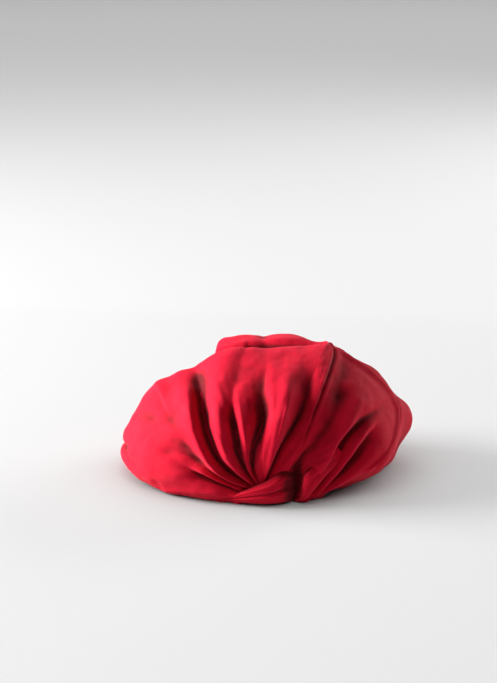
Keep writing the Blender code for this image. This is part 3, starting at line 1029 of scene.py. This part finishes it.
# The rest: dark and light colour, ribs per metre and their direction, their depth, roughness
THREAD_LOOK = (0.36, 0.0, 0.010), (0.60, 0.001, 0.022), 1600.0, "DIAGONAL", 0.00004, 0.5
THREAD_FINISH = ribbed("red_sewing_thread", *THREAD_LOOK)
TACK_FINISH = ribbed("red_tack_thread", *THREAD_LOOK, unwrapped=False)
ELASTIC_FINISH = ribbed(
    "white_elastic_rib", (0.58, 0.56, 0.52), (0.86, 0.84, 0.80), 900.0, "X", 0.00012, 0.75, 0.4
)
LABEL_FINISH = ribbed(
    "blank_satin_ribbon", (0.74, 0.72, 0.68), (0.88, 0.87, 0.84), 5200.0, "Y", 0.00002, 0.38, 0.3
)


def dress(piece, finish, slot, *nodes, moves):
    """Gives a piece its material; bakes its place into its mesh when it moves, or else hangs it on the
    crown's body; and hides the CAD nodes it stands for.
    """
    piece.data.materials.append(finish)
    if moves:
        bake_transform(piece)
    else:
        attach(piece, "crown")
    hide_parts(*nodes)
    return piece


across, along, plain, cloth, folds = sculpted_cloth()
halves = {side: half(side, across, along, cloth, folds) for side in ("left", "right")}
edges = halves["left"][0], halves["right"][0], halves["left"][1][-1]
find_depth = depth_finder(plain)

dress(crown_stitches(*edges), THREAD_FINISH, "red_thread", "crown_seam_thread", moves=True)
dress(lining_stitches(*edges), THREAD_FINISH, "red_thread", "lining_seam_thread", moves=True)
for side, half_cloth in halves.items():
    outer = dress(panel(side, *half_cloth), OUTER, "red_cotton", f"{side}_crown_panel", moves=True)
    inner = dress(lining(side, *half_cloth), INNER, "red_lining", f"{side}_lining_panel", moves=True)

front_strand = dress(knot_front(find_depth), OUTER, "red_cotton", "knot_front_strand", moves=False)
rear_strand = dress(knot_rear(find_depth), OUTER, "red_cotton", "knot_rear_strand", moves=False)

casing = dress(casing_cloth(), OUTER, "red_cotton", "nape_casing", moves=True)
elastic = dress(elastic_band(), ELASTIC_FINISH, "white_elastic", "nape_elastic", moves=True)
dress(casing_stitches(), THREAD_FINISH, "red_thread", "casing_stitch_thread", moves=True)
label = dress(care_label(), LABEL_FINISH, "label_satin", "care_label", moves=True)
for side, share in (("left", 0.035), ("right", 0.965)):
    dress(bar_tack(side, share), THREAD_FINISH, "red_thread", f"elastic_tack_{side}", moves=True)

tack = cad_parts["knot_tack_thread"]
tack.data.materials.clear()
tack.data.materials.append(TACK_FINISH)

# ------------------------------------------------------------
# Studio
# ------------------------------------------------------------
STAGE_GREY = 0.265
BOWL_RADIUS, BOWL_TURN, BOWL_TOP = 8.0, 2.0, 4.0


def studio_sweep():
    """A pale round floor that curves up into a wall all round."""
    mat, tree, shader = new_material("studio_paper")
    grey = (STAGE_GREY, STAGE_GREY, STAGE_GREY, 1.0)
    tune(shader, Base_Color=grey, Roughness=0.9, Specular_IOR_Level=0.1)
    profile = [(BOWL_RADIUS * k / 6, 0.0) for k in range(1, 7)]
    for k in range(1, 13):
        turn = math.pi / 2 * k / 12
        profile.append((BOWL_RADIUS + BOWL_TURN * math.sin(turn), BOWL_TURN * (1 - math.cos(turn))))
    profile.append((BOWL_RADIUS + BOWL_TURN, BOWL_TOP))
    steps = 96
    verts = [(0.0, 0.0, 0.0)]
    for radius, z in profile:
        for k in range(steps):
            turn = 2 * math.pi * k / steps
            verts.append((radius * math.cos(turn), radius * math.sin(turn), z))
    faces = [(0, 1 + k, 1 + (k + 1) % steps) for k in range(steps)]
    for ring in range(len(profile) - 1):
        first = 1 + ring * steps
        for k in range(steps):
            after = (k + 1) % steps
            faces.append((first + k, first + steps + k, first + steps + after, first + after))
    sweep = new_object("studio_sweep", verts, faces)
    sweep.data.materials.append(mat)
    return sweep


def area_light(name, at, look, size, power):
    data = bpy.data.lights.new(name, "AREA")
    data.shape = "RECTANGLE"
    data.size, data.size_y = size
    data.energy = power
    light = add_object(name, data)
    light.location = at
    light.rotation_euler = (Vector(look) - Vector(at)).to_track_quat("-Z", "Y").to_euler()


def paper_light(power, spread, sweep):
    """Soft even light from overhead on the studio paper alone, so the cloth keeps its deep folds."""
    data = bpy.data.lights.new("paper_fill", "SUN")
    data.energy = power
    data.angle = spread
    light = add_object("paper_fill", data)
    lit = bpy.data.collections.new("lit_by_paper_fill")
    lit.objects.link(sweep)
    light.light_linking.receiver_collection = lit


def stage_scene():
    sweep = studio_sweep()
    area_light("window", (-2.25, 0.33, 0.90), (0, 0, 0.05), (1.3, 1.3), 190)
    area_light("rim", (2.0, 1.5, 0.75), (0, 0, 0.05), (1.4, 1.2), 45)
    paper_light(5.5, math.radians(100), sweep)
    world = bpy.data.worlds.new("studio")
    bpy.context.scene.world = world
    world.use_nodes = True
    tune(world.node_tree.nodes["Background"], Color=(1, 1, 1, 1), Strength=0.12)


def add_camera():
    data = bpy.data.cameras.new("camera")
    data.lens = LENS_MM
    data.sensor_width = SENSOR_MM
    data.sensor_fit = "AUTO"
    camera = add_object("camera", data)
    axes = Matrix((view_right, view_up, -view_ahead)).transposed()
    camera.matrix_world = Matrix.Translation(camera_at) @ axes.to_4x4()
    bpy.context.scene.camera = camera
    bpy.context.scene.view_settings.view_transform = "Standard"


stage_scene()
add_camera()
